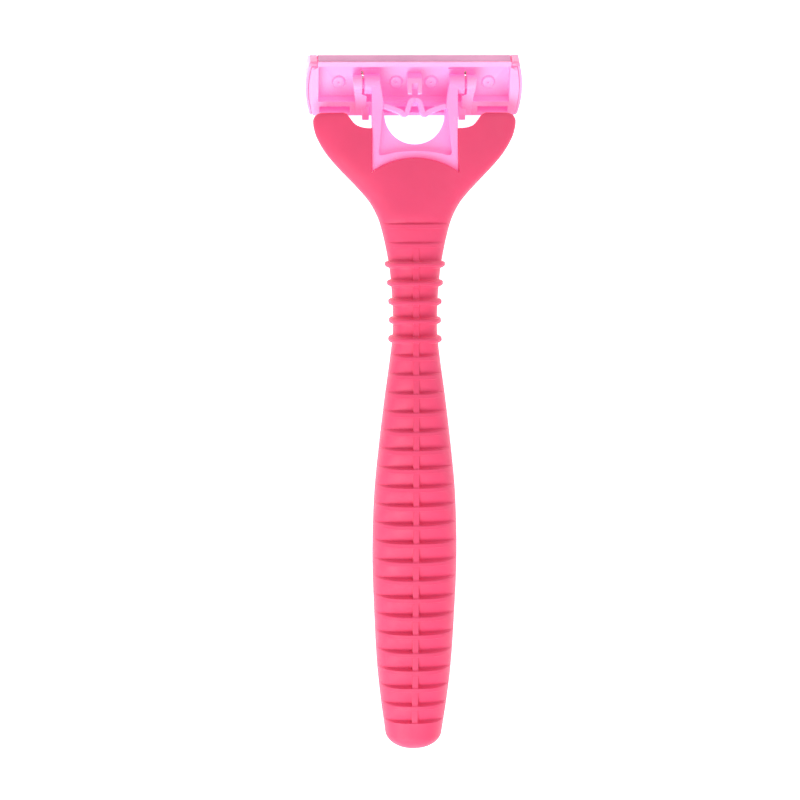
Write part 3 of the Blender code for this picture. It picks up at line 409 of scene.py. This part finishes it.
def rod(name, radius, start, end, rounding=0.0, place=HEAD, segments=40):
    """A turned rod with rounded ends between two points on one line across X."""
    length = abs(end - start)
    direction = 1 if end > start else -1
    profile = [(0.0, 0.0), (radius - rounding, 0.0)]
    profile += [(radius - rounding + rounding * math.sin(a), rounding - rounding * math.cos(a))
                for a in (math.pi / 8, math.pi / 4, math.pi * 3 / 8, math.pi / 2)]
    profile += [(r, length - d) for r, d in reversed(profile)]
    work = bmesh.new()
    rings = []
    for r, along in profile:
        if r == 0.0:
            rings.append([work.verts.new((start + direction * along, 0, 0))])
            continue
        rings.append([work.verts.new((start + direction * along, r * math.cos(turn),
                                      r * math.sin(turn)))
                      for turn in (2 * math.pi * k / segments for k in range(segments))])
    for near, far in zip(rings, rings[1:]):
        for k in range(segments):
            after = (k + 1) % segments
            corners = [near[k % len(near)], near[after % len(near)],
                       far[after % len(far)], far[k % len(far)]]
            work.faces.new(list(dict.fromkeys(corners)))
    bmesh.ops.transform(work, verts=work.verts, matrix=place)
    bmesh.ops.recalc_face_normals(work, faces=work.faces)
    mesh = bpy.data.meshes.new(name)
    work.to_mesh(mesh)
    work.free()
    return add_piece(name, mesh)


def soften(node, name, material, width, angle=30.0):
    """A copy of a CAD node with its edges rounded."""
    mesh = frame["nodes"][node].data.copy()
    work = bmesh.new()
    work.from_mesh(mesh)
    bmesh.ops.remove_doubles(work, verts=work.verts, dist=2e-6)
    for face in work.faces:
        face.smooth = False
    work.to_mesh(mesh)
    work.free()
    piece = add_piece(name, mesh, material)
    bevel = piece.modifiers.new("round_edges", "BEVEL")
    bevel.width = width
    bevel.segments = 3
    bevel.limit_method = "ANGLE"
    bevel.angle_limit = math.radians(angle)
    bevel.use_clamp_overlap = False
    apply_modifiers(piece)
    smooth_shading(piece.data)
    flatten = piece.modifiers.new("flat_faces", "WEIGHTED_NORMAL")
    flatten.keep_sharp = True
    flatten.weight = 100
    apply_modifiers(piece)
    return piece


def finish_piece(piece, body, slot, *nodes):
    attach(piece, body)
    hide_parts(*nodes)


# ---------------------------------------------------------------- the grip's skin
def through_stations(distance):
    """Half width, half height and squareness of the grip at a distance from the pivot axis."""
    stations = GRIP_STATIONS
    distance = min(max(distance, stations[0][0]), stations[-1][0])
    index = int(np.searchsorted(stations[:, 0], distance, side="right")) - 1
    index = min(max(index, 0), len(stations) - 2)
    before = stations[max(index - 1, 0)]
    here = stations[index]
    there = stations[index + 1]
    after = stations[min(index + 2, len(stations) - 1)]
    run = there[0] - here[0]
    t = (distance - here[0]) / run
    slope_here = (there - before) / (there[0] - before[0]) * run
    slope_there = (after - here) / (after[0] - here[0]) * run
    shape = ((2 * t**3 - 3 * t**2 + 1) * here + (t**3 - 2 * t**2 + t) * slope_here
             + (3 * t**2 - 2 * t**3) * there + (t**3 - t**2) * slope_there)
    return shape[1], shape[2], shape[3]


def smooth_min(a, b, width):
    blend = np.maximum(width - np.abs(a - b), 0) / width
    return np.minimum(a, b) - blend * blend * width / 4


def smooth_step(low, high, value):
    share = np.clip((value - low) / (high - low), 0, 1)
    return share * share * (3 - 2 * share)


def pocket_depth(distance):
    """Depth of the pocket floor below the crest."""
    along = (distance - RIB_FIRST) / RIB_PITCH
    index = math.floor(along)            # the rib that this place lies behind
    behind = (along - index) * RIB_PITCH
    half_height = through_stations(distance)[1]
    clear = -0.0003                      # above the crest, so nothing is cut
    following = index + 1
    if following < 0 or index > RIB_COUNT - 2 and behind > RIM_LENGTH:
        return clear
    if following < STEP_RIBS:
        depth = half_height * STEP_DEPTH_SHARE
    elif following < STEP_RIBS + RING_RIBS:
        depth = half_height * RING_DEPTH_SHARE
    else:
        depth = half_height * POCKET_DEPTH_SHARE
    run = WALL_RUN * min(1.0, 0.25 + depth / (half_height * POCKET_DEPTH_SHARE))
    if index >= 0 and behind < RIM_LENGTH:
        return clear
    if behind > RIB_PITCH - run:
        rise = (behind - (RIB_PITCH - run)) / run
        return depth * (1 - rise) - 0.00005 * rise
    if index < 0:
        return clear + (depth - clear) * (behind / (RIB_PITCH - run)) ** 2
    fall = (behind - RIM_LENGTH) / (RIB_PITCH - run - RIM_LENGTH)
    return RIM_LEDGE + (depth - RIM_LEDGE) * fall


def ring_height(distance):
    """How far a ring stands out all round."""
    along = (distance - RIB_FIRST) / RIB_PITCH
    index = math.floor(along + 0.2)
    if not STEP_RIBS <= index < STEP_RIBS + RING_RIBS:
        return 0.0
    middle = RIB_FIRST + index * RIB_PITCH + RIM_LENGTH / 2 + 0.0001
    offset = abs(distance - middle) / (RING_LENGTH / 2)
    return RING_PROUD * math.sqrt(max(0.0, 1 - offset**3)) if offset < 1 else 0.0


def grip_rows():
    """Distances of the rings of points, close together where the surface turns quickly."""
    rows = [WING_TOP + WING_CORNER * (1 - math.cos(math.pi / 2 * step / 10)) for step in range(10)]
    rows += list(np.arange(WING_TOP + WING_CORNER, RIB_FIRST - RIB_PITCH, 0.0002))
    inside = [0.0, 0.03, 0.07, 0.12, 0.17, 0.20, 0.225, 0.235, 0.25, 0.29, 0.34, 0.42, 0.52, 0.62,
              0.71, 0.78, 0.83, 0.868, 0.885, 0.92, 0.95, 0.98]
    for index in range(-1, RIB_COUNT):
        rows += [RIB_FIRST + (index + share) * RIB_PITCH for share in inside]
    rows = [row for row in rows if row < TAIL - TAIL_CAP]
    rows += [TAIL - TAIL_CAP * (1 - math.sin(math.pi / 2 * step / 22)) for step in range(22)]
    return sorted(rows)


def grip_columns(half_width):
    """Places across the top quarter, from the middle to the side, close together at the spine."""
    near = [0.0, 0.0002, 0.0004, 0.00047, 0.00052, 0.00057, 0.00062, 0.00070, 0.00085, 0.0011,
            0.0015]
    start = math.acos(min(1.0, 0.0015 / half_width))
    count = 26
    far = [half_width * math.cos(start * (1 - step / count)) for step in range(1, count + 1)]
    return np.array(near + far)


def grip_row(distance):
    """One ring of points of the skin."""
    half_width, half_height, squareness = through_stations(distance)
    thin = 1.0
    if distance < WING_TOP + WING_CORNER:
        lift = 1 - (distance - WING_TOP) / WING_CORNER
        rounding = 1 - math.sqrt(max(0.0, 1 - lift * lift))
        half_width -= WING_CORNER * rounding
        thin = 1 - WING_EDGE_SHARE * rounding
    if distance > TAIL - TAIL_CAP:
        lift = (distance - (TAIL - TAIL_CAP)) / TAIL_CAP
        closing = 1 - math.sqrt(max(0.0, 1 - lift * lift))
        half_width *= max(0.02, 1 - closing)
        thin = 1 - closing * TAIL_FLATTENING
    proud = ring_height(distance)
    half_width += proud
    half_height = half_height * thin + proud
    columns = grip_columns(half_width)
    oval = half_height * (1 - np.minimum(1, columns / half_width) ** squareness) ** (1 / squareness)
    depth = pocket_depth(distance) + (proud if proud and pocket_depth(distance) > 0 else 0)
    level = half_height - depth - FLOOR_CROWN * (half_height - oval)
    if depth > 0 and distance > RIB_FIRST + RIB_PITCH:
        raised = (1 - SPINE_DEPTH_SHARE) * depth
        level += raised * (1 - smooth_step(SPINE_HALF_WIDTH - 0.00006, SPINE_HALF_WIDTH + 0.00008,
                                           columns))
    top = np.where(oval > 0, smooth_min(oval, level, POCKET_BLEND), 0)
    wave = 0.0
    if STEP_RIBS + RING_RIBS <= (distance - RIB_FIRST) / RIB_PITCH < RIB_COUNT - 1:
        wave = 0.00018 * (1 - math.cos(2 * math.pi * (distance - RIB_FIRST) / RIB_PITCH))
    under = -(oval - wave * smooth_step(0.3, 0.8, oval / half_height))
    right = list(zip(columns[::-1], top[::-1]))
    left = [(-x, z) for x, z in zip(columns[1:], top[1:])]
    below = [(-x, z) for x, z in zip(columns[-2:0:-1], under[-2:0:-1])]
    below += [(x, z) for x, z in zip(columns[:-1], under[:-1])]
    slope = ARMS.z / ARMS.y + distance / ARCH_RADIUS
    height = PIVOT.z - ARMS.z / ARMS.y * distance - distance**2 / (2 * ARCH_RADIUS)
    y = PIVOT.y - distance
    return [(x, y - z * slope, height + z) for x, z in right + left + below]


def insert_outline(margin=0.00006):
    """The edge of the insert's pocket and of the two notches beside the arms."""
    edge = PLATE_HALF_WIDTH + margin
    foot = edge + PLATE_FLARE
    lower = [(-x, y) for x, y in arch_points(PLATE_ARCH + margin, PLATE_FOOT + margin, foot, 32)]
    shoulder = NOTCH_WIDTH - margin
    shape = ((0.0, 0.0), (0.20, 0.00005), (0.35, 0.0002), (0.50, 0.0005), (0.62, 0.00095),
             (0.72, 0.0016), (0.80, 0.0022), (0.88, 0.0027), (1.0, 0.00297))
    notch = [(edge + shoulder * share, -NOTCH_DEPTH + rise)
             for share, rise in smooth_path(shape, 6)]
    notch.append((edge + shoulder + 0.0010, 0.0040))
    return lower + notch + [(-x, y) for x, y in reversed(notch)]


def smooth_path(points, steps):
    """A smooth curve through points in the plane."""
    result = []
    for index in range(len(points) - 1):
        before = Vector(points[max(index - 1, 0)])
        here = Vector(points[index])
        there = Vector(points[index + 1])
        after = Vector(points[min(index + 2, len(points) - 1)])
        for step in range(steps):
            t = step / steps
            result.append(tuple(0.5 * (2 * here + (there - before) * t
                                       + (2 * before - 5 * here + 4 * there - after) * t**2
                                       + (3 * here - before - 3 * there + after) * t**3)))
    result.append(tuple(points[-1]))
    return result


def arch_points(crown, foot, half_width, steps=24):
    """Lower edge of the insert, from right to left."""
    rise = foot - crown
    radius = (half_width**2 + rise**2) / (2 * rise)
    points = []
    for step in range(steps + 1):
        x = half_width - 2 * half_width * step / steps
        points.append((x, -crown - radius + math.sqrt(radius**2 - x**2)))
    return points


def make_grip(material):
    work = bmesh.new()
    rings = [[work.verts.new(point) for point in grip_row(row)] for row in grip_rows()]
    count = len(rings[0])
    for near, far in zip(rings, rings[1:]):
        for index in range(count):
            after = (index + 1) % count
            work.faces.new((near[index], near[after], far[after], far[index]))
    work.faces.new(rings[0])
    work.faces.new(rings[-1])
    bmesh.ops.recalc_face_normals(work, faces=work.faces)
    ground = [vertex for vertex in work.verts if vertex.co.z < 0.00002]
    for vertex in ground:
        vertex.co.z = 0.00002
    mesh = bpy.data.meshes.new("grip_skin")
    work.to_mesh(mesh)
    work.free()
    grip = add_piece("grip_skin", mesh, material)
    boolean(grip, plate("insert_pocket", insert_outline(), -0.012, 0.012))
    grip.data.validate()
    smooth_shading(grip.data, 40.0)
    finish_piece(grip, "handle", "grip_rubber", "grip")


# ---------------------------------------------------------------- the core and its spring
def core_outline():
    foot = PLATE_HALF_WIDTH + PLATE_FLARE
    arm_inner = PLATE_HALF_WIDTH - ARM_WIDTH
    root_inner = arm_inner - ARM_TAPER
    right = [(foot, -PLATE_FOOT), (PLATE_HALF_WIDTH, -NOTCH_DEPTH), (PLATE_HALF_WIDTH, 0.0),
             (arm_inner, 0.0), (root_inner, -SPRING_ROOT + 0.0008),
             (root_inner, -SPRING_ROOT - 0.0008)]
    steps = 48
    arc = [(OPENING_RADIUS * math.cos(math.pi * step / steps),
            -OPENING_CENTRE - OPENING_RADIUS * math.sin(math.pi * step / steps))
           for step in range(steps + 1)]
    left = [(-x, y) for x, y in reversed(right)]
    bottom = list(reversed(arch_points(PLATE_ARCH, PLATE_FOOT, foot)))[1:-1]
    return right + arc + left + bottom


def recess_outline():
    """Floor of the insert: sides that lean out, small round lower corners, an arched lower edge."""
    top = 0.0048
    shape = ((0.0062, -top), (0.0065, -0.0092), (0.00692, -0.0130))
    lower = ((0.00675, -0.01345), (0.0060, -0.01348), (0.0040, -0.01302), (0.0020, -0.01278),
             (0.0, -0.0127))
    right = list(shape) + smooth_path(lower, 5)
    return right + [(-x, y) for x, y in reversed(right[:-1])]


def make_core(material):
    core = plate("core_skin", core_outline(), -PLATE_HALF_THICKNESS, PLATE_HALF_THICKNESS, 0.00022)
    floor = PLATE_HALF_THICKNESS - 0.0012
    boolean(core, plate("recess", recess_outline(), floor, 0.006, 0.00025))
    for side in (-1, 1):
        for face in (-1, 1):
            wedge = [(-0.0085, face * 0.0021), (-0.0051, face * ARM_HALF_THICKNESS),
                     (0.0030, face * ARM_HALF_THICKNESS), (0.0030, face * 0.0045),
                     (-0.0085, face * 0.0045)]
            near, far = sorted((side * 0.0040, side * 0.0095))
            boolean(core, plate("thinning", wedge, near, far, place=HEAD @ PROFILE))
        arm_inner = PLATE_HALF_WIDTH - ARM_WIDTH
        journal = rod("journal", JOURNAL_RADIUS, side * arm_inner, side * JOURNAL_OUTER, 0.00025)
        boolean(core, journal, "UNION")
        pin = rod("pin", PIN_RADIUS, side * (JOURNAL_OUTER - 0.0005), side * PIN_OUTER, 0.00015)
        boolean(core, pin, "UNION")
    core.data.materials.clear()
    core.data.materials.append(material)
    smooth_shading(core.data, 35.0)
    finish_piece(core, "handle", "core_plastic", "handle_core")


def ribbon(path, width):
    """The outline of a strip of even width along a path, without folds inside its bends."""
    left = []
    right = []
    for index, point in enumerate(path):
        before = Vector(path[max(index - 1, 0)])
        after = Vector(path[min(index + 1, len(path) - 1)])
        along = (after - before).normalized()
        across = Vector((-along.y, along.x)) * width / 2
        for edge, place in ((left, Vector(point) + across), (right, Vector(point) - across)):
            if not edge or (place - edge[-1]).dot(along) > 0.00002:
                edge.append(place)
    return [tuple(place) for place in left + list(reversed(right))]


def make_spring(material):
    """Two halves of the leaf, each running from its arm to the nose."""
    root_x = PLATE_HALF_WIDTH - ARM_WIDTH - ARM_TAPER - 0.00003
    shape = ((root_x, -SPRING_ROOT), (0.0054, -0.00432), (0.0034, -0.00498), (0.00262, -0.00532),
             (0.00222, -0.00566), (0.00190, -0.00578), (0.00160, -0.00562), (0.00144, -0.00520),
             (0.00122, -0.00446), (0.00100, -0.00378), (0.00080, -0.00334), (0.00045, -0.00313),
             (0.0, -SPRING_NOSE))
    path = smooth_path(shape, 6)
    for side, name in ((-1, "spring_leaf_left"), (1, "spring_leaf_right")):
        outline = ribbon([(side * x, y) for x, y in path], 0.00094)
        leaf = plate(name, outline, -0.0015, 0.0015, 0.00008)
        leaf.data.materials.append(material)
        smooth_shading(leaf.data, 35.0)
        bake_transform(leaf)
        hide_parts("return_spring")


# ---------------------------------------------------------------- the cartridge
def make_cartridge(materials):
    softened = (("cartridge_tray", "tray_plastic", 0.00005),
                ("blade_frame", "tray_plastic", 0.00004),
                ("end_cap_left", "tray_plastic", 0.00006),
                ("end_cap_right", "tray_plastic", 0.00006),
                ("lubricating_strip", "strip_polymer", 0.00010),
                ("guard_fins", "fin_rubber", 0.00005))
    for node, slot, width in softened:
        material = materials["end_cap" if node.startswith("end_cap") else slot]
        piece = soften(node, node + "_skin", material, width)
        finish_piece(piece, "cartridge", slot, node)
    for name, node in frame["nodes"].items():
        if name.startswith("blade_") and name != "blade_frame":
            slot = "support_steel" if "support" in name else "blade_steel"
            node.data.materials.clear()
            node.data.materials.append(materials[slot])


def main():
    add_camera()
    light_scene()
    add_floor()
    materials = make_materials()
    make_grip(materials["grip_rubber"])
    make_core(materials["core_plastic"])
    make_spring(materials["core_plastic"])
    make_cartridge(materials)


main()
